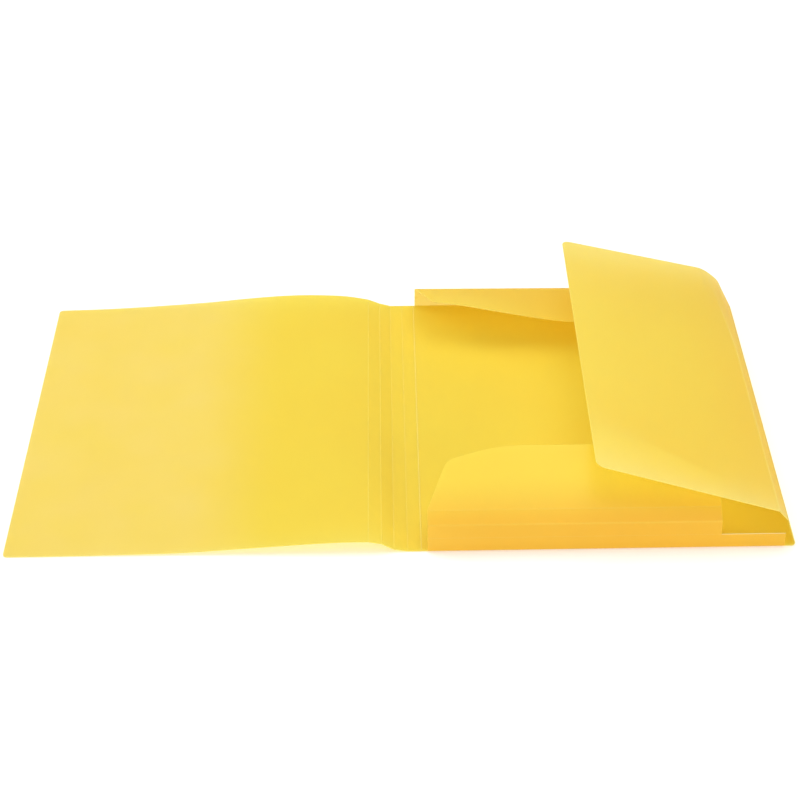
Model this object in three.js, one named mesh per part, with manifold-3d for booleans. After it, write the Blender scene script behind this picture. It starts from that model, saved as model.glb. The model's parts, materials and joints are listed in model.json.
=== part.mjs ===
// Three-flap document folder of thin polypropylene sheet, lying open on a table.
//
// The real folder is one die-cut sheet with scored creases. Each crease is a
// living hinge, so every panel or strip between two creases is a rigid piece
// here, hinged to the next one along the line of the crease.
//
// Frame: millimetres, +Z up, origin at the centre of the back panel's underside.
// The spine lies towards -X, the side flap towards +X, the top edge of the folder
// towards +Y and the bottom edge towards -Y.

import * as THREE from 'three';
import { mergeVertices } from 'three/addons/utils/BufferGeometryUtils.js';
import Module from 'manifold-3d';

const wasm = await Module();
wasm.setup();

// Sheet
const SHEET = 0.5; // thickness of the polypropylene sheet
const CREASE_GAP = 0.3; // width of the scored groove left between two panels

// Panels
const FOLDER_HEIGHT = 320; // along the spine
const BACK_WIDTH = 245; // back panel, from the spine crease to the side crease
const COVER_WIDTH = 240; // front cover, measured along its bow
const COVER_CORNER = 3; // corner radius at the cover's free edge

// Spine: equal strips, so that it folds at the width of the filling
const SPINE_STRIP = 9; // width of one strip
const SPINE_LIFTS = [0, 3, 26, 16]; // degrees that each strip lies above the table, from the back panel on

// Bow of the cover between the spine and its free edge
const BOW_LIFT = 8; // degrees at which the cover leaves the spine
const BOW_NEAR = 55; // how far the bow keeps that slope, spine side
const BOW_FAR = 119; // how far it runs out flat, free side

// Walls round the filling: equal strips again
const WALL_STRIP = 10; // height of one strip
const BOTTOM_START = 4; // bottom wall and flap begin this far from the spine crease
const TOP_START = 1; // top wall and flap begin this far from it
const CORNER_GAP = 7; // lowest strips of those walls end this far from the side crease
const FLAP_END = 49; // their upper strips and flaps end this far from the side crease
const WALL_END_SETBACK = 0.3; // side wall strips stop this far from the ends of the back panel

// Directions of the strips and flaps at rest, in degrees from the table, outward being 0
const SIDE_DIRECTIONS = [107, 107, 130, 164.7];
const BOTTOM_DIRECTIONS = [90, 90, 143, 151.6];
const TOP_DIRECTIONS = [113, 113, 152, 172];

// Side flap
const SIDE_FLAP_WIDTH = 124; // from the last crease to the free edge
const SIDE_FLAP_TAPER = 8; // each end draws in this much at the free edge
const SIDE_FLAP_CORNER = 6; // corner radius at the free edge

// Top and bottom flaps, which share one outline
const FLAP_DEPTH = 47; // from the last crease to the free edge
const SHOULDER_IN = 13.5; // the spine end slopes in by this much up to its shoulder
const SHOULDER_DROP = 11; // the shoulder lies this far below the free edge
const SHOULDER_RUN = 45.5; // the edge climbs back over this length
const SHOULDER_RISE = 20; // degrees at which the edge leaves the shoulder
const SHOULDER_PULL = 13; // how far that curve keeps its slope at either end
const SHOULDER_ROUND = 5; // rounding of the shoulder itself
const FLAP_CLEARANCE = 1; // free height between these flaps and the side flap over them
const FLAP_NOSE = 4; // corner radius where the corner cut begins and ends

// Fineness of the faceting
const BOW_STEPS = 40;
const ARC_STEPS = 6;
const LENGTH_ROUNDS = 4; // corrections that bring the bow to the cover's width
const WELD_DISTANCE = 1e-4; // vertices closer than this are one vertex

// Colour and finish of the sheet
const FILM_COLOUR = 0xf8d94f;
const FILM_ROUGHNESS = 0.42;

const radians = THREE.MathUtils.degToRad;
const HALF_GAP = CREASE_GAP / 2;
const HALF_HEIGHT = FOLDER_HEIGHT / 2;
const HALF_BACK = BACK_WIDTH / 2;

// A new material for one panel of the sheet.
function film() {
  return new THREE.MeshStandardMaterial({
    color: FILM_COLOUR,
    roughness: FILM_ROUGHNESS,
    metalness: 0,
    side: THREE.DoubleSide,
  });
}

function namedMesh(name, geometry) {
  const mesh = new THREE.Mesh(geometry, film());
  mesh.name = name;
  return mesh;
}

// A flat piece of sheet with the given outline. Its inner face is at z = 0.
function flatSheet(outline) {
  const geometry = new THREE.ExtrudeGeometry(outline, {
    depth: SHEET,
    bevelEnabled: false,
    curveSegments: ARC_STEPS,
  });
  geometry.translate(0, 0, -SHEET);
  return geometry;
}

// A closed outline through the corners, each given as [x, y, radius].
function roundedOutline(corners) {
  const shape = new THREE.Shape();
  corners.forEach(([x, y, radius], index) => {
    const corner = new THREE.Vector2(x, y);
    const before = corners[(index + corners.length - 1) % corners.length];
    const after = corners[(index + 1) % corners.length];
    const towardsBefore = new THREE.Vector2(before[0] - x, before[1] - y).normalize();
    const towardsAfter = new THREE.Vector2(after[0] - x, after[1] - y).normalize();
    const halfAngle = towardsBefore.angleTo(towardsAfter) / 2;
    const setback = radius / Math.tan(halfAngle);
    const start = corner.clone().addScaledVector(towardsBefore, setback);
    const end = corner.clone().addScaledVector(towardsAfter, setback);
    if (index === 0) {
      shape.moveTo(start.x, start.y);
    } else {
      shape.lineTo(start.x, start.y);
    }
    if (radius > 0) {
      shape.quadraticCurveTo(x, y, end.x, end.y);
    }
  });
  shape.closePath();
  return shape;
}

// A strip between two creases. Its own x runs away from the crease it hangs on,
// and its y runs along that crease.
function stripOutline(width, low, high) {
  return roundedOutline([
    [HALF_GAP, low, 0],
    [width - HALF_GAP, low, 0],
    [width - HALF_GAP, high, 0],
    [HALF_GAP, high, 0],
  ]);
}

// Hangs pieces on one another, crease by crease, and adds them to the parent.
// Each piece has a name, a geometry, a reach to its next crease and a direction
// in degrees from the table.
function hangChain(parent, pieces) {
  let frame = parent;
  let reach = 0;
  let direction = 0;
  for (const piece of pieces) {
    const crease = new THREE.Group();
    crease.name = `crease_of_${piece.name}`;
    crease.position.x = reach;
    crease.rotation.y = -radians(piece.direction - direction);
    crease.add(namedMesh(piece.name, piece.geometry));
    frame.add(crease);
    frame = crease;
    reach = piece.reach;
    direction = piece.direction;
  }
}

// A frame on one edge of the back panel: its x points outward, its origin is on
// the crease at the level of the panel's inner face.
function edgeFrame(x, y, turn) {
  const frame = new THREE.Group();
  frame.position.set(x, y, SHEET);
  frame.rotation.z = radians(turn);
  return frame;
}

// Height and distance that a chain of equal strips gains from its first crease.
function chainEnd(strip, directions) {
  const along = directions.map((direction) => strip * Math.cos(radians(direction)));
  const up = directions.map((direction) => strip * Math.sin(radians(direction)));
  const sum = (values) => values.reduce((total, value) => total + value, 0);
  return { along: sum(along), up: sum(up) };
}

// Back panel: lies flat on the table and carries everything else.
function backPanel() {
  const outline = roundedOutline([
    [-HALF_BACK + HALF_GAP, -HALF_HEIGHT + HALF_GAP, 0],
    [HALF_BACK - HALF_GAP, -HALF_HEIGHT + HALF_GAP, 0],
    [HALF_BACK - HALF_GAP, HALF_HEIGHT - HALF_GAP, 0],
    [-HALF_BACK + HALF_GAP, HALF_HEIGHT - HALF_GAP, 0],
  ]);
  const mesh = namedMesh('back_panel', flatSheet(outline));
  mesh.position.z = SHEET;
  return mesh;
}

// Curve of the cover's inner face, from the spine crease down to the table. Its
// reach is found so that the curve is as long as the cover is wide.
function bowCurve(drop) {
  let reach = COVER_WIDTH;
  let curve = null;
  const rise = BOW_NEAR * Math.tan(radians(BOW_LIFT));
  for (let round = 0; round < LENGTH_ROUNDS; round += 1) {
    curve = new THREE.CubicBezierCurve(
      new THREE.Vector2(0, 0),
      new THREE.Vector2(BOW_NEAR, rise),
      new THREE.Vector2(reach - BOW_FAR, -drop),
      new THREE.Vector2(reach, -drop),
    );
    reach += COVER_WIDTH - curve.getLength();
  }
  return curve;
}

// Section of the bowed cover: the curve above, its offset by the sheet below.
function bowSection(curve) {
  const first = HALF_GAP / COVER_WIDTH;
  const inner = [];
  const outer = [];
  for (let step = 0; step <= BOW_STEPS; step += 1) {
    const along = first + ((1 - first) * step) / BOW_STEPS;
    const point = curve.getPointAt(along);
    const tangent = curve.getTangentAt(along);
    inner.push(point);
    outer.push(new THREE.Vector2(point.x + SHEET * tangent.y, point.y - SHEET * tangent.x));
  }
  return new THREE.Shape([...inner, ...outer.reverse()]);
}

function toSolid(geometry) {
  const bare = geometry.clone();
  bare.deleteAttribute('normal');
  bare.deleteAttribute('uv');
  const merged = mergeVertices(bare, WELD_DISTANCE);
  return new wasm.Manifold(
    new wasm.Mesh({
      numProp: 3,
      vertProperties: new Float32Array(merged.attributes.position.array),
      triVerts: new Uint32Array(merged.index.array),
    }),
  );
}

function toGeometry(solid) {
  const { vertProperties, triVerts } = solid.getMesh();
  const geometry = new THREE.BufferGeometry();
  geometry.setAttribute('position', new THREE.BufferAttribute(new Float32Array(vertProperties), 3));
  geometry.setIndex(new THREE.BufferAttribute(new Uint32Array(triVerts), 1));
  geometry.computeVertexNormals();
  return geometry;
}

// Front cover: the bowed sheet, with its two free corners rounded.
function coverGeometry(drop) {
  const curve = bowCurve(drop);
  const sheet = new THREE.ExtrudeGeometry(bowSection(curve), {
    depth: FOLDER_HEIGHT,
    bevelEnabled: false,
  });
  sheet.rotateX(Math.PI / 2);
  sheet.translate(0, HALF_HEIGHT, 0);

  const reach = curve.getPointAt(1).x;
  const plan = new THREE.ExtrudeGeometry(
    roundedOutline([
      [-SPINE_STRIP, -HALF_HEIGHT, 0],
      [reach, -HALF_HEIGHT, COVER_CORNER],
      [reach, HALF_HEIGHT, COVER_CORNER],
      [-SPINE_STRIP, HALF_HEIGHT, 0],
    ]),
    { depth: 2 * FOLDER_HEIGHT, bevelEnabled: false, curveSegments: ARC_STEPS },
  );
  plan.translate(0, 0, -FOLDER_HEIGHT);
  return toGeometry(toSolid(sheet).intersect(toSolid(plan)));
}

// Spine strips and front cover, hung on the back panel's spine edge.
function spineAndCover() {
  const frame = edgeFrame(-HALF_BACK, 0, 180);
  const strips = SPINE_LIFTS.map((lift, index) => ({
    name: `spine_strip_${index + 1}`,
    geometry: flatSheet(stripOutline(SPINE_STRIP, -HALF_HEIGHT, HALF_HEIGHT)),
    reach: SPINE_STRIP,
    direction: lift,
  }));
  const cover = {
    name: 'front_cover',
    geometry: coverGeometry(chainEnd(SPINE_STRIP, SPINE_LIFTS).up),
    direction: 0,
  };
  hangChain(frame, [...strips, cover]);
  return frame;
}

// Three wall strips of one edge and the flap above them, from outlines that run
// along the crease between low and high.
function wallAndFlap(edge, directions, spans, outline) {
  const levels = ['lower', 'middle', 'upper'];
  const strips = levels.map((level, index) => ({
    name: `${edge}_wall_${level}`,
    geometry: flatSheet(stripOutline(WALL_STRIP, ...spans[index])),
    reach: WALL_STRIP,
    direction: directions[index],
  }));
  const flap = {
    name: `${edge}_flap`,
    geometry: flatSheet(outline),
    direction: directions[levels.length],
  };
  return [...strips, flap];
}

// Side wall and flap: they run the whole height of the folder, and the flap
// tapers a little towards its free edge.
function sideWallAndFlap() {
  const frame = edgeFrame(HALF_BACK, 0, 0);
  const end = HALF_HEIGHT - WALL_END_SETBACK;
  const free = HALF_HEIGHT - SIDE_FLAP_TAPER;
  const outline = roundedOutline([
    [HALF_GAP, -end, 0],
    [SIDE_FLAP_WIDTH, -free, SIDE_FLAP_CORNER],
    [SIDE_FLAP_WIDTH, free, SIDE_FLAP_CORNER],
    [HALF_GAP, end, 0],
  ]);
  const span = [-end, end];
  hangChain(frame, wallAndFlap('side', SIDE_DIRECTIONS, [span, span, span], outline));
  return frame;
}

// Distance from its crease that the bottom flap may reach at a place along the
// folder's width before it comes too near the side flap that lies over it.
function reachUnderSideFlap(fromSideCrease) {
  const sideTop = chainEnd(WALL_STRIP, SIDE_DIRECTIONS.slice(0, 3));
  const bottomTop = chainEnd(WALL_STRIP, BOTTOM_DIRECTIONS.slice(0, 3));
  const inward = fromSideCrease + sideTop.along;
  const sideHeight = sideTop.up + inward * Math.tan(radians(180 - SIDE_DIRECTIONS[3]));
  const free = sideHeight - SHEET - FLAP_CLEARANCE - bottomTop.up;
  return free / Math.sin(radians(180 - BOTTOM_DIRECTIONS[3]));
}

// Outline of the top and bottom flaps. It is drawn with x away from the crease
// and y along it, measured from the middle of the back panel towards the side flap.
// The spine end slopes in to a shoulder and climbs to the free edge in a long
// curve. The other end is cut back to pass under the side flap. The top crease
// runs the other way, so sign mirrors the outline there.
function flapOutline(start, sign) {
  const spineEnd = -HALF_BACK + start;
  const sideEnd = HALF_BACK - FLAP_END;
  const shoulder = { x: FLAP_DEPTH - SHOULDER_DROP, y: spineEnd + SHOULDER_IN };
  const crest = shoulder.y + SHOULDER_RUN;

  // Corner cut: a straight line between its two ends, worked out from the side flap.
  const cutStart = reachUnderSideFlap(FLAP_END);
  const perMillimetre = reachUnderSideFlap(FLAP_END + 1) - cutStart;
  const cutLength = Math.max(FLAP_NOSE * 2, (FLAP_DEPTH - cutStart) / perMillimetre);
  const slope = new THREE.Vector2(FLAP_DEPTH - cutStart, -cutLength).normalize();

  const rise = new THREE.Vector2(Math.sin(radians(SHOULDER_RISE)), Math.cos(radians(SHOULDER_RISE)));
  const end = new THREE.Vector2(shoulder.x - HALF_GAP, SHOULDER_IN).normalize();

  const shape = new THREE.Shape();
  shape.moveTo(HALF_GAP, sign * spineEnd);
  shape.lineTo(shoulder.x - SHOULDER_ROUND * end.x, sign * (shoulder.y - SHOULDER_ROUND * end.y));
  shape.quadraticCurveTo(
    shoulder.x,
    sign * shoulder.y,
    shoulder.x + SHOULDER_ROUND * rise.x,
    sign * (shoulder.y + SHOULDER_ROUND * rise.y),
  );
  shape.bezierCurveTo(
    shoulder.x + SHOULDER_PULL * rise.x,
    sign * (shoulder.y + SHOULDER_PULL * rise.y),
    FLAP_DEPTH,
    sign * (crest - SHOULDER_PULL),
    FLAP_DEPTH,
    sign * crest,
  );
  shape.lineTo(FLAP_DEPTH, sign * (sideEnd - cutLength - FLAP_NOSE));
  shape.quadraticCurveTo(
    FLAP_DEPTH,
    sign * (sideEnd - cutLength),
    FLAP_DEPTH - slope.x * FLAP_NOSE,
    sign * (sideEnd - cutLength - slope.y * FLAP_NOSE),
  );
  shape.lineTo(cutStart + slope.x * FLAP_NOSE, sign * (sideEnd + slope.y * FLAP_NOSE));
  shape.quadraticCurveTo(cutStart, sign * sideEnd, cutStart - FLAP_NOSE, sign * sideEnd);
  shape.lineTo(HALF_GAP, sign * sideEnd);
  shape.closePath();
  return shape;
}

// Wall and flap of the bottom or top edge, beginning at the given distance from
// the spine crease. The spans along the top crease change sign as its outline does.
function endWallAndFlap(edge, directions, start, y, turn, sign) {
  const frame = edgeFrame(0, y, turn);
  const spineEnd = -HALF_BACK + start;
  const lowEnd = HALF_BACK - CORNER_GAP;
  const highEnd = HALF_BACK - FLAP_END;
  const span = (end) => [spineEnd, end].map((value) => sign * value).sort((a, b) => a - b);
  const spans = [span(lowEnd), span(highEnd), span(highEnd)];
  hangChain(frame, wallAndFlap(edge, directions, spans, flapOutline(start, sign)));
  return frame;
}

const folder = new THREE.Group();
folder.name = 'plastic_file_folder';
folder.add(backPanel());
folder.add(spineAndCover());
folder.add(sideWallAndFlap());
folder.add(endWallAndFlap('bottom', BOTTOM_DIRECTIONS, BOTTOM_START, -HALF_HEIGHT, -90, 1));
folder.add(endWallAndFlap('top', TOP_DIRECTIONS, TOP_START, HALF_HEIGHT, 90, -1));

export default folder;
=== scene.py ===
"""Three-flap document folder of thin hazy yellow sheet, lying open on a white table.

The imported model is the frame. Every panel of the folder is drawn again here as one
thin closed sheet with the slight bow, bulge and twist that the rigid panels leave out,
and every crease gets the narrow pressed web that joins two panels. Lengths in the
shape functions are millimetres, and meshes are written in metres.
"""

import json
import math

import bpy
import numpy as np
from bpy.props import FloatProperty, FloatVectorProperty, PointerProperty
from mathutils import Matrix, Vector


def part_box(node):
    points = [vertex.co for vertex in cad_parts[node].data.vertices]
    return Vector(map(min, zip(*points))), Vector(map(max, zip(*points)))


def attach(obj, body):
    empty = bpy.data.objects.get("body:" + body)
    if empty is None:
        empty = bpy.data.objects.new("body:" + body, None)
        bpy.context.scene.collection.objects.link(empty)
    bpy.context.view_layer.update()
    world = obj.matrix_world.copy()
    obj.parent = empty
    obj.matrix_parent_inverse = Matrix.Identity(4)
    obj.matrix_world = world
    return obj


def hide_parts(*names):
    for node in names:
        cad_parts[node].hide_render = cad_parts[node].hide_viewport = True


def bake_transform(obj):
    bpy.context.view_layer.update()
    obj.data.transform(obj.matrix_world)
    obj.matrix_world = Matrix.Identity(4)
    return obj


bl_info = {
    "name": "Plastic File Folder",
    "version": (1, 0, 0),
    "blender": (4, 5, 0),
    "location": "View3D > Sidebar > Folder",
    "description": "Builds the sheets, creases and stage of an open plastic file folder",
    "category": "Add Mesh",
}

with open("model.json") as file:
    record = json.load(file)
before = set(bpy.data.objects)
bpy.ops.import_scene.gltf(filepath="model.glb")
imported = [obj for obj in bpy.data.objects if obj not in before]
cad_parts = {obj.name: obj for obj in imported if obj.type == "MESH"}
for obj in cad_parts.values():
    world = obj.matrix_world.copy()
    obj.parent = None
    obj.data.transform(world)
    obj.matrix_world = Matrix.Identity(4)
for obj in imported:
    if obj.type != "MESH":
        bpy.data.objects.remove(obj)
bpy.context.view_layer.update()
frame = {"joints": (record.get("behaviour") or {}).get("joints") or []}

# Sizes of the folder in millimetres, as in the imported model
MM = 1000.0
HALF_BACK = 122.5
HALF_HEIGHT = 160.0
SHEET = 0.5
HALF_GAP = 0.15  # from a crease to the end of each panel beside it
SLIT = 0.02  # air between a panel's end and its web
WEB_HALF = HALF_GAP - SLIT
SPINE_STRIP = 9.0
WALL_STRIP = 10.0
WALL_PLAY = 0.3  # from the ends of the side wall to the bottom and top creases
WALL_END = HALF_HEIGHT - WALL_PLAY
COVER_WIDTH = 240.0
COVER_CORNER = 3.0
SIDE_FLAP_WIDTH = 124.0
SIDE_FLAP_TAPER = 8.0
SIDE_FLAP_CORNER = 6.0
FLAP_DEPTH = 47.0

# Ends of the bottom and top walls along their creases, from the middle of the back panel
LOW_STRIP_END = 115.5
HIGH_STRIP_END = 73.5
SPINE_ENDS = {"bottom": -118.5, "top": -121.5}

# Angles of the flaps above the table, in degrees
SIDE_FLAP_RISE = 15.3
BOTTOM_FLAP_RISE = 28.4
TOP_FLAP_RISE = (14.0, -2.0)  # at the spine end, and past the place where it has twisted down
TOP_FLAP_TWIST = (-100.5, 7.5)  # where along the top edge the twist begins and ends

# Bulge of the bottom flap between its crease and its free edge
FLAP_BULGE = 0.6

# Rounded corners of the back panel beside the side wall, and the cuts at the ends of the wall's lowest strip
REAR_CORNER = 10.0
FRONT_CORNER = 2.0
REAR_CUT = 9.0
FRONT_CUT = 1.5

# How far each of the side wall's creases strays from straight at the rear, as (outward, up), the stretch along
# the crease over which it does, and how the straying fades into the side flap
REAR_STRAY = np.array([(0.0, 0.0), (-2.6, -0.2), (-4.4, -0.5), (-5.3, -1.3)])
REAR_SPAN = (30.0, 160.0)
STRAY_FADE = 14.0
STRAY_POWER = 1.3

# The top wall sinks a little towards the side flap, by these shares at its creases
TOP_SINK = (0.8, -2.5)
TOP_SINK_SPAN = (-HALF_BACK, HIGH_STRIP_END)
TOP_SINK_SHARES = (0.0, 0.0, 0.5, 1.0)

# Heights of the spine's creases above the table at the rear and front ends
SPINE_REAR = np.array([0.5, 0.5, 0.6, 2.9, 6.6])
SPINE_FRONT = np.array([0.5, 0.5, 2.0, 6.6, 8.3])

# Heights of the cover at stations counted from its crease
COVER_STATIONS = np.array([0.0, 15.0, 35.0, 60.0, 90.0, 120.0, 160.0, 200.0, 240.0])
COVER_REAR = np.array([6.6, 9.5, 11.0, 11.2, 9.3, 6.4, 3.6, 1.5, 0.5])
COVER_FRONT = np.array([8.3, 8.3, 7.5, 5.9, 3.9, 2.0, 1.1, 0.6, 0.5])

# Outline of the top and bottom flaps
SHOULDER = np.array([36.0, 13.5])
SHOULDER_RUN = 45.5
SHOULDER_RISE = 20.0
SHOULDER_PULL = 13.0
SHOULDER_ROUND = 5.0
CUT_START = 19.6
CUT_LENGTH = 47.7
CUT_NOSE = 4.0

# The webs: height of the ridge in millimetres
RIDGE = 0.06

# Fineness of the grids
LONG_STEPS = 97
STRIP_STEPS = 7
WEB_STEPS = 8
FLAP_STEPS = 49
STRAY_STEPS = 15
BACK_STEPS = 73
ARC_STEPS = 9
SLOPE_STEP = 0.01  # millimetres to either side of a point, to measure a surface's slope

# Painted sheen on the cover: a whitish veil of light on its flat part, by its distance from the middle of the back
# panel, in metres
SHEEN_START = -0.215
SHEEN_FULL = -0.285
SHEEN_AMOUNT = 0.33
SHEEN_TONE = (1.0, 0.93, 0.75)
CLOUD_SCALE = 22.0
CLOUD_DETAIL = 2.0
CLOUD_RANGE = (0.3, 0.7)
CLOUD_SHARE = (0.8, 1.15)

# Painted shade: a deeper orange low in the walls and flaps, as of light that has crossed several layers, by height
# above the table at rest, in metres
SHADE_CLEAR = 0.040
SHADE_FULL = 0.017
SHADE_TINT = (1.0, 0.86, 0.80)

# Satin grain and slow mottle of the sheet
GRAIN_FINENESS = 1800.0
GRAIN_DETAIL = 2.0
GRAIN_DEPTH = 0.00002
GRAIN_STRENGTH = 0.25
MOTTLE_SCALE = 14.0
MOTTLE_DETAIL = 3.0
MOTTLE_RANGE = (0.35, 0.75)
MOTTLE_SHARE = 0.35
MOTTLE_GLOSS = 0.04
DEEP_GREEN = 0.97
DEEP_BLUE = 0.9

# Walls and flaps: lit and shaded copies of the one sheet, which is painted light. The side wall and flap and the
# top flap are paler and let more light through, and the top wall and the bottom wall and flap are a deeper orange,
# with a red that loses almost nothing. Each entry gives how much painted shade they take low down, and how their
# colour, the colour through them and their haze differ from those of the sheet
WALL_RED = 0.998
WALL_LIGHT_COPIES = {
    "side_sheet": {"fold": 0.35, "green": 1.065, "blue": 1.1, "clear": 1.75, "haze": 0.03},
    "top_sheet": {"fold": 0.3, "green": 1.055, "blue": 1.0, "clear": 1.7, "haze": 0.03},
    "top_wall_sheet": {"fold": 0.45, "green": 1.04, "blue": 0.75, "clear": 1.3, "haze": 0.0},
    "bottom_sheet": {"fold": 1.0, "green": 1.02, "blue": 0.70, "clear": 1.0, "haze": -0.09},
}

# Edges and webs: colour, colour through, haze, roughness and strength of the grain. The ends inside a
# crease throw the light back into the sheet. The webs are paler than the sheet, a painted highlight along each
# crease, strongest on the web beside the back panel.
EDGE_AND_WEB_FINISHES = {
    "cut_edge": ((0.99, 0.90, 0.24), (0.99, 0.90, 0.36), 0.6, 0.34, 0.1),
    "crease_edge": ((1.0, 0.98, 0.72), (1.0, 0.98, 0.72), 0.0, 0.5, 0.05),
    "pressed_web": ((1.0, 0.93, 0.34), (1.0, 0.93, 0.5), 0.3, 0.22, 0.1),
    "faint_web": ((0.995, 0.915, 0.24), (0.995, 0.915, 0.4), 0.55, 0.26, 0.1),
}

# Material slots of the rims
CREASE_EDGE = 1
CUT_EDGE = 2

# Camera, fitted to the photograph
FOCAL_LENGTH = 98.974
SENSOR_WIDTH = 36.0
CAMERA_PLACE = (-0.14203, -1.32148, 0.85832)
CAMERA_PITCH = 0.567636
CAMERA_YAW = 0.00568535
CAMERA_ROLL = -0.0116021

# The floor lies a hair under the sheet, so that light can pass between them
FLOOR = -0.0004
FLOOR_REACH = 6.0

# Glow of the floor that only the camera sees, at two distances from the folder, in metres
GLOW_SPAN = (0.6, 2.0)
GLOW = (0.2, 0.8)

# Lamps: place and side length in metres, and the setting that holds the power
LAMPS = {
    "key_lamp": ((-2.0, 1.1, 1.4), 1.6, "key"),
    "top_lamp": ((0.2, 0.3, 2.2), 1.8, "top"),
    "fill_lamp": ((1.2, -2.1, 0.6), 1.2, "fill"),
}

# Light crosses several hazy sheets before it leaves the folder
MAX_BOUNCES = 32
DIFFUSE_BOUNCES = 18
THROUGH_BOUNCES = 26

WHITE = (1.0, 1.0, 1.0)


def crease_places(*names):
    """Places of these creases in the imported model, in millimetres."""
    places = {joint["name"]: joint["pos_m"] for joint in frame["joints"]}
    return [np.array(places[name]) * MM for name in names]


SPINE_CREASES = crease_places(*(f"spine_crease_{k}" for k in (1, 2, 3, 4)), "cover_crease")
SIDE_CREASES = crease_places("side_crease_1", "side_crease_2", "side_crease_3", "side_flap_crease")
BOTTOM_CREASES = crease_places("bottom_crease_1", "bottom_crease_2", "bottom_crease_3", "bottom_flap_crease")
TOP_CREASES = crease_places("top_crease_1", "top_crease_2", "top_crease_3", "top_flap_crease")
COVER_REACH = SPINE_CREASES[4][0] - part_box("front_cover")[0].x * MM


class FolderSheetSettings(bpy.types.PropertyGroup):
    """What the sheet is made of."""

    thickness: FloatProperty(
        name="Thickness", description="Thickness of the sheet",
        default=0.0005, min=0.0002, max=0.002, unit="LENGTH", precision=5)
    colour: FloatVectorProperty(
        name="Colour", description="Colour that the sheet sends back",
        subtype="COLOR", size=3, default=(0.975, 0.895, 0.20), min=0, max=1)
    through: FloatVectorProperty(
        name="Colour through", description="Colour of the light that passes one face",
        subtype="COLOR", size=3, default=(0.98, 0.90, 0.38), min=0, max=1)
    haze: FloatProperty(
        name="Haze", description="Share of the light that passes a face instead of turning back",
        default=0.75, min=0, max=1, subtype="FACTOR")
    roughness: FloatProperty(
        name="Roughness", description="Roughness of the satin faces",
        default=0.36, min=0, max=1, subtype="FACTOR")


class FolderStageSettings(bpy.types.PropertyGroup):
    """Floor and light."""

    floor: FloatVectorProperty(
        name="Floor", description="Colour of the floor",
        subtype="COLOR", size=3, default=(0.90, 0.90, 0.90), min=0, max=1)
    sky: FloatProperty(
        name="Sky", description="Strength of the even light from all round", default=0.63, min=0, max=2)
    key: FloatProperty(
        name="Key", description="Power of the large lamp at the left", default=22.0, min=0, max=200, unit="POWER")
    top: FloatProperty(
        name="Top", description="Power of the large lamp overhead", default=19.0, min=0, max=200, unit="POWER")
    fill: FloatProperty(
        name="Fill", description="Power of the low lamp in front", default=16.0, min=0, max=200, unit="POWER")


# Surfaces of the inner faces

def ease(value, start, end):
    """Smooth step: 0 before start, 1 after end, and 3t^2 - 2t^3 between them."""
    t = np.clip((value - start) / (end - start), 0.0, 1.0)
    return t * t * (3.0 - 2.0 * t)


def hermite(t, start, first, end, last):
    """Cubic curve from start to end with the slopes first and last: the ends are weighted by 2t^3 - 3t^2 + 1
    and what is left of 1, and the slopes by t^3 - 2t^2 + t and t^3 - t^2."""
    share = 2 * t**3 - 3 * t**2 + 1
    return share * start + (1 - share) * end + (t**3 - 2 * t**2 + t) * first + (t**3 - t**2) * last


def smooth_curve(x, stations, heights):
    """Cubic curve through the stations, whose slope at each station is that of the line joining its neighbours."""
    slopes = np.gradient(heights, stations)
    k = np.clip(np.searchsorted(stations, x, side="right") - 1, 0, len(stations) - 2)
    width = stations[k + 1] - stations[k]
    t = (x - stations[k]) / width
    return hermite(t, heights[k], width * slopes[k], heights[k + 1], width * slopes[k + 1])


def rearward(y):
    """Share of the way from the front end of the folder to its rear end."""
    return (y + HALF_HEIGHT) / (2 * HALF_HEIGHT)


def back_surface(x, y):
    """Inner face of the back panel: level, one thickness above the table."""
    return np.stack([x, y, np.full_like(x, SHEET)], axis=-1)


def spine_heights(y):
    """Heights of the five spine creases at y: straight lines from the front end to the rear end."""
    share = rearward(y)[..., None]
    return SPINE_FRONT * (1 - share) + SPINE_REAR * share


def spine_surface(k):
    """Inner face of spine strip k: straight across from one crease line to the next."""
    def surface(u, y):
        heights = spine_heights(y)
        t = u / SPINE_STRIP
        x = SPINE_CREASES[k][0] * (1 - t) + SPINE_CREASES[k + 1][0] * t
        z = heights[..., k] * (1 - t) + heights[..., k + 1] * t
        return np.stack([x, y, z], axis=-1)
    return surface


def cover_surface(u, y):
    """Inner face of the cover: smooth curves through the heights of its front and rear edges, mixed evenly
    between them."""
    share = rearward(y)
    front = smooth_curve(u, COVER_STATIONS, COVER_FRONT)
    rear = smooth_curve(u, COVER_STATIONS, COVER_REAR)
    x = SPINE_CREASES[4][0] - u * COVER_REACH / COVER_WIDTH
    return np.stack([x, y, front * (1 - share) + rear * share], axis=-1)


def side_crease(k, y):
    """Place of side crease k at y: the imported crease, straying by a smooth step towards the rear."""
    stray = ease(y, *REAR_SPAN)[..., None] * REAR_STRAY[k]
    return np.stack([SIDE_CREASES[k][0] + stray[..., 0], y, SIDE_CREASES[k][2] + stray[..., 1]], axis=-1)


def side_flap_surface(u, y):
    """Inner face of the side flap: a plane from its crease, into which the crease's straying fades by a power
    of the distance that is left."""
    rise = math.radians(SIDE_FLAP_RISE)
    x, _, z = SIDE_CREASES[3]
    flat = np.stack([x - u * math.cos(rise), y, z + u * math.sin(rise)], axis=-1)
    straight = np.stack([np.full_like(y, x), y, np.full_like(y, z)], axis=-1)
    fade = np.clip(1.0 - u / STRAY_FADE, 0.0, 1.0) ** STRAY_POWER
    return flat + (side_crease(3, y) - straight) * fade[..., None]


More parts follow.
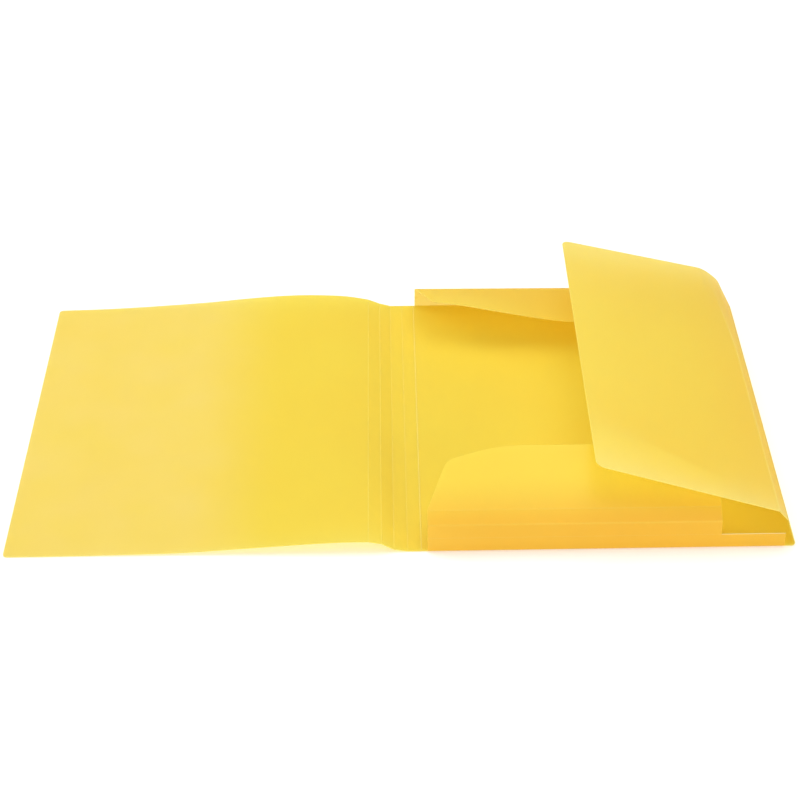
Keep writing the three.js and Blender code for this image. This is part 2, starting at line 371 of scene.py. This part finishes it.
def side_surface(k):
    """Inner face of side wall strip k: a cubic between its creases, straight in front and rounded towards
    the rear, where its slopes join those of the strips beside it."""
    def surface(u, y):
        places = [side_crease(i, y) for i in range(4)] + [side_flap_surface(np.full_like(y, WALL_STRIP), y)]
        start, end = places[k], places[k + 1]
        straight = end - start
        before = (end - places[k - 1]) / 2 if k > 0 else straight
        after = (places[k + 2] - start) / 2
        roundness = ease(y, *REAR_SPAN)[..., None]
        first = straight + (before - straight) * roundness
        last = straight + (after - straight) * roundness
        return hermite((u / WALL_STRIP)[..., None], start, first, end, last)
    return surface


def bottom_surface(k):
    """Inner face of bottom wall strip k: straight between its creases."""
    def surface(u, x):
        start, end = BOTTOM_CREASES[k], BOTTOM_CREASES[k + 1]
        t = u / WALL_STRIP
        return np.stack([x, start[1] * (1 - t) + end[1] * t, start[2] * (1 - t) + end[2] * t], axis=-1)
    return surface


def bottom_flap_surface(u, x):
    """Inner face of the bottom flap: a plane from its crease, with a parabola's bulge."""
    rise = math.radians(BOTTOM_FLAP_RISE)
    bulge = FLAP_BULGE * 4 * (u / FLAP_DEPTH) * (1 - u / FLAP_DEPTH)
    y = BOTTOM_CREASES[3][1] + u * math.cos(rise)
    return np.stack([x, y, BOTTOM_CREASES[3][2] + u * math.sin(rise) + bulge], axis=-1)


def top_sink(x):
    """Height that the top wall's last crease lies above its packed place: a straight line along it."""
    return np.interp(x, TOP_SINK_SPAN, TOP_SINK)


def top_surface(k):
    """Inner face of top wall strip k: straight between its creases, the upper ones sinking along the wall."""
    def surface(u, x):
        start, end = TOP_CREASES[k], TOP_CREASES[k + 1]
        t = u / WALL_STRIP
        sink = top_sink(x) * (TOP_SINK_SHARES[k] * (1 - t) + TOP_SINK_SHARES[k + 1] * t)
        return np.stack([x, start[1] * (1 - t) + end[1] * t, start[2] * (1 - t) + end[2] * t + sink], axis=-1)
    return surface


def top_flap_surface(u, x):
    """Inner face of the top flap: straight lines from its crease, whose angle turns down along the flap."""
    turn = ease(x, *TOP_FLAP_TWIST)
    rise = np.radians(TOP_FLAP_RISE[0] * (1 - turn) + TOP_FLAP_RISE[1] * turn)
    y = TOP_CREASES[3][1] - u * np.cos(rise)
    return np.stack([x, y, TOP_CREASES[3][2] + top_sink(x) + u * np.sin(rise)], axis=-1)


# Outlines of the panels

def rounded_end(u, width, half, radius):
    """Half length of a panel at the distance u from its crease, with a quarter circle at its free corner."""
    into = np.clip(u - (width - radius), 0.0, radius)
    return half - (radius - np.sqrt(radius**2 - into**2))


def towards_edge(start, end, steps, radius):
    """Distances that are even up to the free corner's arc, and then follow the arc by equal angles."""
    arc = np.sin(np.linspace(0.0, math.pi / 2, ARC_STEPS)) * radius + end - radius
    return np.concatenate([np.linspace(start, end - radius, steps)[:-1], arc])


def bezier(points, steps):
    """Points of a Bezier curve: the sum of the corner points, each times its Bernstein polynomial."""
    t = np.linspace(0.0, 1.0, steps)[:, None]
    last = len(points) - 1
    return sum(math.comb(last, k) * t**k * (1 - t) ** (last - k) * np.array(p) for k, p in enumerate(points))


def spine_end():
    """Spine end of a top or bottom flap, as distances from its crease and along it: a straight slope in to the
    shoulder, a rounded corner, and a cubic curve that runs level into the free edge."""
    slope = SHOULDER / np.linalg.norm(SHOULDER)
    rise = np.array([math.sin(math.radians(SHOULDER_RISE)), math.cos(math.radians(SHOULDER_RISE))])
    before, after = SHOULDER - slope * SHOULDER_ROUND, SHOULDER + rise * SHOULDER_ROUND
    crest = np.array([FLAP_DEPTH, SHOULDER[1] + SHOULDER_RUN])
    level = crest - (0.0, SHOULDER_PULL)
    straight = before * np.linspace(HALF_GAP / before[0], 1.0, FLAP_STEPS // 2)[:, None]
    corner = bezier((before, SHOULDER, after), ARC_STEPS)
    climb = bezier((after, SHOULDER + rise * SHOULDER_PULL, level, crest), FLAP_STEPS)
    return np.concatenate([straight[:-1], corner[:-1], climb])


def cut_end(u):
    """Side end of those flaps at the distance u: straight, then cut back in a line to pass under the side flap,
    with a parabola for a nose where the cut meets the free edge."""
    depth = FLAP_DEPTH - CUT_START
    line = CUT_LENGTH * np.clip((u - CUT_START) / depth, 0.0, 1.0)
    reach = CUT_NOSE * depth / math.hypot(depth, CUT_LENGTH)
    t = np.sqrt(np.clip((FLAP_DEPTH - u) / reach, 0.0, 1.0))
    along = CUT_NOSE * CUT_LENGTH / math.hypot(depth, CUT_LENGTH)
    nose = CUT_LENGTH + CUT_NOSE * (1 - t) ** 2 - along * t**2
    return HIGH_STRIP_END - np.where(t < 1.0, nose, line)


# Meshes of the panels and webs

def inner_and_outer(surface, u, s, side):
    """The two faces of a sheet at u and s: the surface, and the surface moved by the thickness against its
    normal, which is the cross product of its slopes along and across."""
    inner = surface(u, s)
    along = surface(u + SLOPE_STEP, s) - surface(u - SLOPE_STEP, s)
    across = surface(u, s + SLOPE_STEP) - surface(u, s - SLOPE_STEP)
    normal = np.cross(along, across) * side
    normal /= np.linalg.norm(normal, axis=-1, keepdims=True)
    return inner, inner - normal * bpy.context.scene.folder_sheet.thickness * MM


def closed_mesh(name, first, second, side, material, last_edge):
    """A closed shell from two equal grids of points and a rim round them. With side 1 the first grid faces
    along the cross product of its row and column directions. The rim is a free cut edge at the ends of the
    columns, a crease edge along the first row, and along the last row the edge that is named."""
    rows, columns = first.shape[:2]
    count = rows * columns
    index = np.arange(count).reshape(rows, columns)
    quads = np.stack([index[:-1, :-1], index[1:, :-1], index[1:, 1:], index[:-1, 1:]], axis=-1).reshape(-1, 4)
    loop = np.concatenate([index[:-1, 0], index[-1, :-1], index[:0:-1, -1], index[0, :0:-1]])
    after = np.roll(loop, -1)
    rim = np.stack([after, loop, loop + count, after + count], axis=-1)
    faces = np.concatenate([quads, quads[:, ::-1] + count, rim])
    if side < 0:
        faces = faces[:, ::-1]
    points = np.concatenate([first.reshape(-1, 3), second.reshape(-1, 3)]) / MM
    mesh = bpy.data.meshes.new(name)
    mesh.from_pydata(points.tolist(), [], faces.tolist())
    for part in (material, finish("crease_edge"), finish("cut_edge")):
        mesh.materials.append(part)
    runs = (2 * len(quads), rows - 1, columns - 1, rows - 1, columns - 1)
    slots = np.repeat((0, CUT_EDGE, last_edge, CUT_EDGE, CREASE_EDGE), runs).astype(np.int32)
    mesh.polygons.foreach_set("use_smooth", slots == 0)
    mesh.polygons.foreach_set("material_index", slots)
    sharpen_rim(mesh, loop, count)
    mesh.update()
    piece = bpy.data.objects.new(name, mesh)
    bpy.context.scene.collection.objects.link(piece)
    return piece


def sharpen_rim(mesh, loop, count):
    """Marks the edges between the rim and the two faces sharp, so that the rim doesn't bend their shading."""
    ends = np.empty(2 * len(mesh.edges), np.int32)
    mesh.edges.foreach_get("vertices", ends)
    ends = ends.reshape(-1, 2)
    on_rim = np.zeros(2 * count, bool)
    on_rim[loop] = on_rim[loop + count] = True
    same_face = (ends[:, 0] < count) == (ends[:, 1] < count)
    mesh.edges.foreach_set("use_edge_sharp", on_rim[ends].all(axis=1) & same_face)


def panel(name, node, surface, u, low, high, side, material, last_edge=CUT_EDGE):
    """One panel of the sheet: columns of points at the distances u from its crease, each column running evenly
    from its low end to its high end along the crease."""
    v = np.linspace(0.0, 1.0, LONG_STEPS)
    s = low[:, None] + (high - low)[:, None] * v
    across = np.repeat(u[:, None], LONG_STEPS, axis=1)
    inner, outer = inner_and_outer(surface, across, s, side)
    piece = closed_mesh(name, inner, outer, side, material, last_edge)
    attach(piece, node)
    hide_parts(node)


def strip(node, surface, width, low, high, side, material):
    """A straight panel between two creases."""
    u = np.linspace(HALF_GAP, width - HALF_GAP, STRIP_STEPS)
    low, high = np.full_like(u, low), np.full_like(u, high)
    panel(f"{node}_sheet", node, surface, u, low, high, side, material, CREASE_EDGE)


def end_family(edge, surfaces, flap_surface, side, wall_finish, flap_finish):
    """The strips and the flap of the bottom or top edge."""
    start = SPINE_ENDS[edge]
    ends = {"lower": LOW_STRIP_END, "middle": HIGH_STRIP_END, "upper": HIGH_STRIP_END}
    for k, (level, end) in enumerate(ends.items()):
        strip(f"{edge}_wall_{level}", surfaces(k), WALL_STRIP, start, end, side, finish(wall_finish))
    u, inset = spine_end().T
    low, high = start + inset, cut_end(u)
    panel(f"{edge}_flap_sheet", f"{edge}_flap", flap_surface, u, low, high, side, finish(flap_finish))


def web(name, before, after, low, high, side, material):
    """The pressed web of a crease: a narrow closed strip that runs from the end of one panel over a low ridge to
    the start of the next. Each cross section is straight on the outer face, and on the inner one a quadratic
    curve whose middle stands the ridge's height above the crease."""
    s = np.linspace(low, high, LONG_STEPS)
    (surface_a, u_a), (surface_b, u_b) = before, after
    a_inner, a_outer = inner_and_outer(surface_a, np.full_like(s, u_a), s, side)
    b_inner, b_outer = inner_and_outer(surface_b, np.full_like(s, u_b), s, side)
    middle = (a_inner + b_inner) / 2
    outward = (a_inner - a_outer) + (b_inner - b_outer)
    outward /= np.linalg.norm(outward, axis=-1, keepdims=True)
    crest = surface_b(np.zeros_like(s), s) * 2 - middle + outward * RIDGE * 2
    t = np.linspace(0.0, 1.0, WEB_STEPS)[:, None, None]
    inner = (1 - t) ** 2 * a_inner + 2 * t * (1 - t) * crest + t**2 * b_inner
    outer = (1 - t) * a_outer + t * b_outer
    piece = closed_mesh(name, inner, outer, side, material, CREASE_EDGE)
    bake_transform(piece)


def spine_webs():
    """The five webs of the spine, between the back panel, the four strips and the cover."""
    before = [(lambda u, y: back_surface(-HALF_BACK - u, y), -WEB_HALF)]
    before += [(spine_surface(k), SPINE_STRIP - WEB_HALF) for k in range(4)]
    after = [(spine_surface(k), WEB_HALF) for k in range(4)] + [(cover_surface, WEB_HALF)]
    end = HALF_HEIGHT - HALF_GAP
    for k in range(5):
        # The web beside the back panel takes the strongest painted highlight, and the others a fainter one
        material = finish("faint_web" if k else "pressed_web")
        web(f"spine_web_{k + 1}", before[k], after[k], -end, end, -1, material)


def wall_webs(edge, back, surfaces, flap_surface, side, spans, strays, material):
    """The four webs of a wall, each over its span along the crease. The line that joins its two panels at the
    middle of the crease, without the part along which the crease strays, is worked out but not used."""
    before = [(back, -WEB_HALF)] + [(surfaces(k), WALL_STRIP - WEB_HALF) for k in range(3)]
    after = [(surfaces(k), WEB_HALF) for k in range(3)] + [(flap_surface, WEB_HALF)]
    for k, (low, high) in enumerate(spans):
        middle = np.array([(low + high) / 2])
        start, end = [surface(np.full(1, u), middle)[0] for surface, u in (before[k], after[k])]
        turn = end - start
        turn -= strays[k] * (turn @ strays[k])
        web(f"{edge}_web_{k + 1}", before[k], after[k], low, high, side, material)


# Node groups and finishes of the sheet

def add_node(tree, kind, inputs=(), **settings):
    """A node of this kind. Its inputs are numbers and colours to set, or sockets to link to."""
    node = tree.nodes.new(kind)
    for name, value in settings.items():
        setattr(node, name, value)
    for socket, value in dict(inputs).items():
        if isinstance(value, bpy.types.NodeSocket):
            tree.links.new(value, node.inputs[socket])
        else:
            node.inputs[socket].default_value = value
    return node


def add_range(tree, value, start=(0.0, 1.0), end=(0.0, 1.0), shape="LINEAR"):
    """Output of a node that maps the first range to the second."""
    ends = {"From Min": start[0], "From Max": start[1], "To Min": end[0], "To Max": end[1]}
    node = add_node(tree, "ShaderNodeMapRange", {"Value": value, **ends}, interpolation_type=shape)
    return node.outputs["Result"]


def add_product(tree, first, second):
    """Output of a node that multiplies two values."""
    return add_node(tree, "ShaderNodeMath", {0: first, 1: second}, operation="MULTIPLY").outputs["Value"]


def start_group(name, inputs, outputs):
    """An empty node group with these sockets, and the outputs of its input node."""
    tree = bpy.data.node_groups.new(name, "ShaderNodeTree")
    for way, sockets in (("INPUT", inputs), ("OUTPUT", outputs)):
        for label, kind in sockets.items():
            tree.interface.new_socket(name=label, in_out=way, socket_type=f"NodeSocket{kind}")
    return tree, tree.nodes.new("NodeGroupInput").outputs


def place_on_piece(tree):
    """Output of a node that gives the place on the piece, in metres."""
    return add_node(tree, "ShaderNodeTexCoord").outputs["Object"]


def build_grain(name):
    """Node group of the satin grain: fine even relief from a noise, and a slow mottle from another."""
    tree, given = start_group(name, {"Fineness": "Float"}, {"Height": "Float", "Mottle": "Float"})
    tree.interface.items_tree["Fineness"].default_value = GRAIN_FINENESS
    place = place_on_piece(tree)
    relief = add_node(
        tree, "ShaderNodeTexNoise", {"Vector": place, "Scale": given["Fineness"], "Detail": GRAIN_DETAIL})
    slow = add_node(tree, "ShaderNodeTexNoise", {"Vector": place, "Scale": MOTTLE_SCALE, "Detail": MOTTLE_DETAIL})
    add_node(tree, "NodeGroupOutput", {"Height": relief.outputs["Fac"], "Mottle": slow.outputs["Fac"]})


def build_tint(name):
    """Node group of the dye: a colour that the mottle shifts a little towards a deeper one."""
    tree, given = start_group(name, {"Colour": "Color", "Deep": "Color", "Mottle": "Float"}, {"Colour": "Color"})
    share = add_range(tree, given["Mottle"], MOTTLE_RANGE, (0.0, MOTTLE_SHARE))
    mix = add_node(
        tree, "ShaderNodeMix", {"Factor": share, "A": given["Colour"], "B": given["Deep"]}, data_type="RGBA")
    add_node(tree, "NodeGroupOutput", {"Colour": mix.outputs["Result"]})


def build_painted_sheen(name):
    """Node group of the painted sheen: a colour whitened, as by a veil of light, by a cloudy share that grows with
    the distance from the spine."""
    tree, given = start_group(name, {"Colour": "Color", "Amount": "Float"}, {"Colour": "Color"})
    place = place_on_piece(tree)
    across = add_node(tree, "ShaderNodeSeparateXYZ", {"Vector": place}).outputs["X"]
    cloud = add_node(tree, "ShaderNodeTexNoise", {"Vector": place, "Scale": CLOUD_SCALE, "Detail": CLOUD_DETAIL})
    reach = add_range(tree, across, (SHEEN_START, SHEEN_FULL), shape="SMOOTHSTEP")
    uneven = add_range(tree, cloud.outputs["Fac"], CLOUD_RANGE, CLOUD_SHARE)
    share = add_product(tree, add_product(tree, reach, given["Amount"]), uneven)
    mix = add_node(
        tree, "ShaderNodeMix", {"Factor": share, "A": given["Colour"], "B": (*SHEEN_TONE, 1.0)}, data_type="RGBA")
    add_node(tree, "NodeGroupOutput", {"Colour": mix.outputs["Result"]})


def build_painted_shade(name):
    """Node group of the painted shade: a colour that deepens to orange, as of light that has crossed several
    layers, as the height at rest falls to that of the walls."""
    tree, given = start_group(name, {"Colour": "Color", "Amount": "Float"}, {"Colour": "Color"})
    place = place_on_piece(tree)
    height = add_node(tree, "ShaderNodeSeparateXYZ", {"Vector": place}).outputs["Z"]
    depth = add_range(tree, height, (SHADE_CLEAR, SHADE_FULL), shape="SMOOTHSTEP")
    share = add_product(tree, depth, given["Amount"])
    mix = add_node(
        tree, "ShaderNodeMix", {"Factor": share, "A": given["Colour"], "B": (*SHADE_TINT, 1.0)},
        data_type="RGBA", blend_type="MULTIPLY")
    add_node(tree, "NodeGroupOutput", {"Colour": mix.outputs["Result"]})


# Two of these groups paint light: a whitish sheen on the cover and a deeper orange shade low in the walls
GROUPS = {"satin_grain": build_grain, "dye_tint": build_tint, "milky_haze": build_painted_sheen, "fold_depth": build_painted_shade}


def shared_group(name):
    """The node group of this name, built when it is first asked for."""
    if name not in bpy.data.node_groups:
        GROUPS[name](name)
    return bpy.data.node_groups[name]


def dyed(tree, tone, mottle, sheen_amount, fold):
    """Output of the colour groups: the tone with its mottle, whitened by the painted sheen and deepened by the
    painted shade.
    """
    deep = (tone[0], tone[1] * DEEP_GREEN, tone[2] * DEEP_BLUE, 1.0)
    tint = add_node(
        tree, "ShaderNodeGroup", {"Colour": (*tone, 1.0), "Deep": deep, "Mottle": mottle},
        node_tree=shared_group("dye_tint"))
    colour = tint.outputs["Colour"]
    for group, amount in (("milky_haze", sheen_amount), ("fold_depth", fold)):
        if amount:
            change = add_node(
                tree, "ShaderNodeGroup", {"Colour": colour, "Amount": amount}, node_tree=shared_group(group))
            colour = change.outputs["Colour"]
    return colour


def hazy_material(name, colour, through, haze, roughness, strength, sheen_amount=0.0, fold=0.0):
    """Hazy sheet: a satin face that sends part of the light back and lets the rest through, scattered."""
    material = bpy.data.materials.new(name)
    material.use_nodes = True
    tree = material.node_tree
    tree.nodes.clear()
    grain = add_node(tree, "ShaderNodeGroup", node_tree=shared_group("satin_grain"))
    height, mottle = grain.outputs["Height"], grain.outputs["Mottle"]
    bump = add_node(tree, "ShaderNodeBump", {"Height": height, "Strength": strength, "Distance": GRAIN_DEPTH})
    # Both colours take the painted sheen and the painted shade, when they are asked for
    face = add_node(tree, "ShaderNodeBsdfPrincipled", {
        "Base Color": dyed(tree, colour, mottle, sheen_amount, fold),
        "Roughness": add_range(tree, mottle, end=(roughness - MOTTLE_GLOSS, roughness + MOTTLE_GLOSS)),
        "Normal": bump.outputs["Normal"]})
    beyond = add_node(tree, "ShaderNodeBsdfTranslucent", {"Color": dyed(tree, through, mottle, sheen_amount, fold)})
    mix = add_node(tree, "ShaderNodeMixShader", {"Fac": haze, 1: face.outputs["BSDF"], 2: beyond.outputs["BSDF"]})
    add_node(tree, "ShaderNodeOutputMaterial", {"Surface": mix.outputs["Shader"]})
    return material


def finish(name):
    """The material of this name, built when it is first asked for. The sheet's settings give hazy_sheet, the
    plain faces, and cover_sheet, whitened far from the spine by a painted sheen. The tables above give the others."""
    found = bpy.data.materials.get(name)
    if found:
        return found
    if name in EDGE_AND_WEB_FINISHES:
        return hazy_material(name, *EDGE_AND_WEB_FINISHES[name])
    sheet = bpy.context.scene.folder_sheet
    colour, through, haze, roughness = tuple(sheet.colour), tuple(sheet.through), sheet.haze, sheet.roughness
    if name not in WALL_LIGHT_COPIES:
        # The cover takes the painted sheen, a whitish veil of light far from the spine
        sheen_amount = SHEEN_AMOUNT if name == "cover_sheet" else 0.0
        return hazy_material(name, colour, through, haze, roughness, GRAIN_STRENGTH, sheen_amount)
    # Walls and flaps: lit and shaded copies of the sheet, painted light, with painted shade low down
    wall = WALL_LIGHT_COPIES[name]
    colour = (WALL_RED, colour[1] * wall["green"], colour[2] * wall["blue"])
    through = (WALL_RED, through[1] * wall["green"], through[2] * wall["clear"])
    haze += wall["haze"]
    return hazy_material(name, colour, through, haze, roughness, GRAIN_STRENGTH, fold=wall["fold"])


# Operators of the pieces

class FOLDER_OT_add_back(bpy.types.Operator):
    """Adds the back panel"""

    bl_idname = "folder.add_back"
    bl_label = "Back Panel"

    def execute(self, context):
        edge, end = HALF_BACK - HALF_GAP, HALF_HEIGHT - HALF_GAP
        x = towards_edge(-edge, edge, BACK_STEPS, REAR_CORNER)
        low, high = -rounded_end(x, edge, end, FRONT_CORNER), rounded_end(x, edge, end, REAR_CORNER)
        panel("back_sheet", "back_panel", back_surface, x, low, high, 1, finish("hazy_sheet"), CREASE_EDGE)
        return {"FINISHED"}


class FOLDER_OT_add_spine(bpy.types.Operator):
    """Adds the four spine strips"""

    bl_idname = "folder.add_spine"
    bl_label = "Spine"

    def execute(self, context):
        for k in range(4):
            strip(
                f"spine_strip_{k + 1}", spine_surface(k), SPINE_STRIP, -HALF_HEIGHT, HALF_HEIGHT, -1,
                finish("hazy_sheet"))
        return {"FINISHED"}


class FOLDER_OT_add_cover(bpy.types.Operator):
    """Adds the bowed front cover"""

    bl_idname = "folder.add_cover"
    bl_label = "Front Cover"

    def execute(self, context):
        u = towards_edge(HALF_GAP, COVER_WIDTH, BACK_STEPS, COVER_CORNER)
        half = rounded_end(u, COVER_WIDTH, HALF_HEIGHT, COVER_CORNER)
        panel("cover_sheet", "front_cover", cover_surface, u, -half, half, -1, finish("cover_sheet"))
        return {"FINISHED"}


class FOLDER_OT_add_side(bpy.types.Operator):
    """Adds the side wall's three strips and the side flap"""

    bl_idname = "folder.add_side"
    bl_label = "Side Wall and Flap"

    def execute(self, context):
        side = finish("side_sheet")
        u = np.linspace(HALF_GAP, WALL_STRIP - HALF_GAP, STRIP_STEPS)
        low = -WALL_END + FRONT_CUT * (1 - u / WALL_STRIP)
        high = WALL_END - REAR_CUT * (1 - u / WALL_STRIP)
        panel("side_wall_lower_sheet", "side_wall_lower", side_surface(0), u, low, high, 1, side, CREASE_EDGE)
        strip("side_wall_middle", side_surface(1), WALL_STRIP, -WALL_END, WALL_END, 1, side)
        strip("side_wall_upper", side_surface(2), WALL_STRIP, -WALL_END, WALL_END, 1, side)
        near = np.linspace(HALF_GAP, STRAY_FADE, STRAY_STEPS)
        u = np.concatenate([near[:-1], towards_edge(STRAY_FADE, SIDE_FLAP_WIDTH, FLAP_STEPS, SIDE_FLAP_CORNER)])
        narrowing = SIDE_FLAP_TAPER - HALF_HEIGHT + WALL_END
        taper = WALL_END - narrowing * (u - HALF_GAP) / (SIDE_FLAP_WIDTH - HALF_GAP)
        half = rounded_end(u, SIDE_FLAP_WIDTH, taper, SIDE_FLAP_CORNER)
        panel("side_flap_sheet", "side_flap", side_flap_surface, u, -half, half, 1, side)
        return {"FINISHED"}


class FOLDER_OT_add_bottom(bpy.types.Operator):
    """Adds the bottom wall's three strips and its flap"""

    bl_idname = "folder.add_bottom"
    bl_label = "Bottom Wall and Flap"

    def execute(self, context):
        end_family("bottom", bottom_surface, bottom_flap_surface, 1, "bottom_sheet", "bottom_sheet")
        return {"FINISHED"}


class FOLDER_OT_add_top(bpy.types.Operator):
    """Adds the top wall's three strips and its twisted flap"""

    bl_idname = "folder.add_top"
    bl_label = "Top Wall and Flap"

    def execute(self, context):
        end_family("top", top_surface, top_flap_surface, -1, "top_wall_sheet", "top_sheet")
        return {"FINISHED"}


class FOLDER_OT_add_creases(bpy.types.Operator):
    """Adds the pressed web of every crease"""

    bl_idname = "folder.add_creases"
    bl_label = "Creases"

    def execute(self, context):
        still, upward = np.zeros(3), np.array([0.0, 0.0, 1.0])
        inward = [np.array([x, 0.0, z]) / math.hypot(x, z) for x, z in REAR_STRAY[1:]]
        full = (-WALL_END, WALL_END)
        cut = (-WALL_END + FRONT_CUT, WALL_END - REAR_CUT)
        short = {
            edge: [(start, LOW_STRIP_END)] + [(start, HIGH_STRIP_END)] * 3 for edge, start in SPINE_ENDS.items()}
        spine_webs()
        wall_webs(
            "side", lambda u, y: back_surface(HALF_BACK + u, y), side_surface, side_flap_surface, 1,
            [cut, full, full, full], [still, *inward], finish("side_sheet"))
        wall_webs(
            "bottom", lambda u, x: back_surface(x, -HALF_HEIGHT - u), bottom_surface, bottom_flap_surface, 1,
            short["bottom"], [still] * 4, finish("bottom_sheet"))
        wall_webs(
            "top", lambda u, x: back_surface(x, HALF_HEIGHT + u), top_surface, top_flap_surface, -1,
            short["top"], [still, still, upward, upward], finish("top_wall_sheet"))
        return {"FINISHED"}


# Stage

class FOLDER_OT_add_stage(bpy.types.Operator):
    """Adds the floor, the lamps and the camera"""

    bl_idname = "folder.add_stage"
    bl_label = "Stage"

    def execute(self, context):
        stage = context.scene.folder_stage
        add_floor(tuple(stage.floor))
        add_world(stage.sky)
        for name, (place, size, setting) in LAMPS.items():
            add_lamp(name, place, size, getattr(stage, setting))
        add_camera()
        context.scene.view_settings.view_transform = "Standard"
        context.scene.cycles.max_bounces = MAX_BOUNCES
        context.scene.cycles.diffuse_bounces = DIFFUSE_BOUNCES
        context.scene.cycles.transmission_bounces = THROUGH_BOUNCES
        return {"FINISHED"}


def add_floor(colour):
    """A wide level floor just under the folder, pale to the light. The camera sees a glow added, which grows away
    from the folder as the lamps fall off, so that the floor is white as far as it goes."""
    reach = FLOOR_REACH
    corners = [(-reach, -reach, FLOOR), (reach, -reach, FLOOR), (reach, reach, FLOOR), (-reach, reach, FLOOR)]
    mesh = bpy.data.meshes.new("floor")
    mesh.from_pydata(corners, [], [(0, 1, 2, 3)])
    floor = bpy.data.objects.new("floor", mesh)
    bpy.context.scene.collection.objects.link(floor)
    material = bpy.data.materials.new("floor_white")
    material.use_nodes = True
    tree = material.node_tree
    tree.nodes.clear()
    distance = add_node(tree, "ShaderNodeVectorMath", {0: place_on_piece(tree)}, operation="LENGTH")
    seen = add_node(tree, "ShaderNodeLightPath").outputs["Is Camera Ray"]
    strength = add_product(tree, seen, add_range(tree, distance.outputs["Value"], GLOW_SPAN, GLOW))
    glow = add_node(tree, "ShaderNodeEmission", {"Strength": strength}).outputs["Emission"]
    matt = add_node(tree, "ShaderNodeBsdfDiffuse", {"Color": (*colour, 1.0)}).outputs["BSDF"]
    both = add_node(tree, "ShaderNodeAddShader", {0: matt, 1: glow}).outputs["Shader"]
    add_node(tree, "ShaderNodeOutputMaterial", {"Surface": both})
    mesh.materials.append(material)


def add_world(strength):
    """Even white light from all round, pure white to the camera."""
    world = bpy.data.worlds.new("studio")
    world.use_nodes = True
    tree = world.node_tree
    tree.nodes.clear()
    seen = add_node(tree, "ShaderNodeLightPath").outputs["Is Camera Ray"]
    light = add_node(tree, "ShaderNodeBackground", {"Color": (*WHITE, 1.0), "Strength": strength})
    white = add_node(tree, "ShaderNodeBackground", {"Color": (*WHITE, 1.0)})
    both = {"Fac": seen, 1: light.outputs["Background"], 2: white.outputs["Background"]}
    mix = add_node(tree, "ShaderNodeMixShader", both)
    add_node(tree, "ShaderNodeOutputWorld", {"Surface": mix.outputs["Shader"]})
    bpy.context.scene.world = world


def turned(right, up, back, place):
    """Matrix of a camera or lamp with these three directions at a place."""
    columns = np.eye(4)
    columns[:3, 0], columns[:3, 1], columns[:3, 2], columns[:3, 3] = right, up, back, place
    return Matrix(columns.tolist())


def add_lamp(name, place, size, power):
    """A large square lamp that faces the folder."""
    data = bpy.data.lights.new(name, "AREA")
    data.energy = power
    data.size = size
    lamp = bpy.data.objects.new(name, data)
    bpy.context.scene.collection.objects.link(lamp)
    back = np.array(place) / np.linalg.norm(place)
    right = np.cross((0.0, 0.0, 1.0), back)
    right /= np.linalg.norm(right)
    lamp.matrix_world = turned(right, np.cross(back, right), back, place)


def add_camera():
    """The photograph's camera: pitched down, then turned and rolled a little."""
    pitch, yaw, roll = CAMERA_PITCH, CAMERA_YAW, CAMERA_ROLL
    ahead = np.array([math.sin(yaw) * math.cos(pitch), math.cos(yaw) * math.cos(pitch), -math.sin(pitch)])
    level = np.array([math.cos(yaw), -math.sin(yaw), 0.0])
    upright = np.cross(level, ahead)
    right = math.cos(roll) * level + math.sin(roll) * upright
    up = -math.sin(roll) * level + math.cos(roll) * upright
    data = bpy.data.cameras.new("camera")
    data.lens, data.sensor_width = FOCAL_LENGTH, SENSOR_WIDTH
    camera = bpy.data.objects.new("camera", data)
    bpy.context.scene.collection.objects.link(camera)
    camera.matrix_world = turned(right, up, -ahead, CAMERA_PLACE)
    bpy.context.scene.camera = camera


class FOLDER_PT_builder(bpy.types.Panel):
    """Lists the folder's pieces"""

    bl_label = "Plastic File Folder"
    bl_idname = "FOLDER_PT_builder"
    bl_space_type = "VIEW_3D"
    bl_region_type = "UI"
    bl_category = "Folder"

    def draw(self, context):
        for group in (context.scene.folder_sheet, context.scene.folder_stage):
            for name in group.bl_rna.properties.keys():
                if name not in ("rna_type", "name"):
                    self.layout.prop(group, name)
        for operator in PIECES:
            self.layout.operator(operator.bl_idname)


PIECES = (
    FOLDER_OT_add_back,
    FOLDER_OT_add_spine,
    FOLDER_OT_add_cover,
    FOLDER_OT_add_side,
    FOLDER_OT_add_bottom,
    FOLDER_OT_add_top,
    FOLDER_OT_add_creases,
    FOLDER_OT_add_stage,
)
CLASSES = (FolderSheetSettings, FolderStageSettings, *PIECES, FOLDER_PT_builder)


def register():
    """Registers the classes and hangs the settings on the scene."""
    for item in CLASSES:
        bpy.utils.register_class(item)
    bpy.types.Scene.folder_sheet = PointerProperty(type=FolderSheetSettings)
    bpy.types.Scene.folder_stage = PointerProperty(type=FolderStageSettings)


def unregister():
    """Takes the settings and the classes away again."""
    del bpy.types.Scene.folder_stage
    del bpy.types.Scene.folder_sheet
    for item in reversed(CLASSES):
        bpy.utils.unregister_class(item)


def main():
    """Builds the folder and its stage."""
    register()
    bpy.ops.folder.add_back()
    bpy.ops.folder.add_spine()
    bpy.ops.folder.add_cover()
    bpy.ops.folder.add_side()
    bpy.ops.folder.add_bottom()
    bpy.ops.folder.add_top()
    bpy.ops.folder.add_creases()
    bpy.ops.folder.add_stage()


if __name__ == "__main__":
    main()
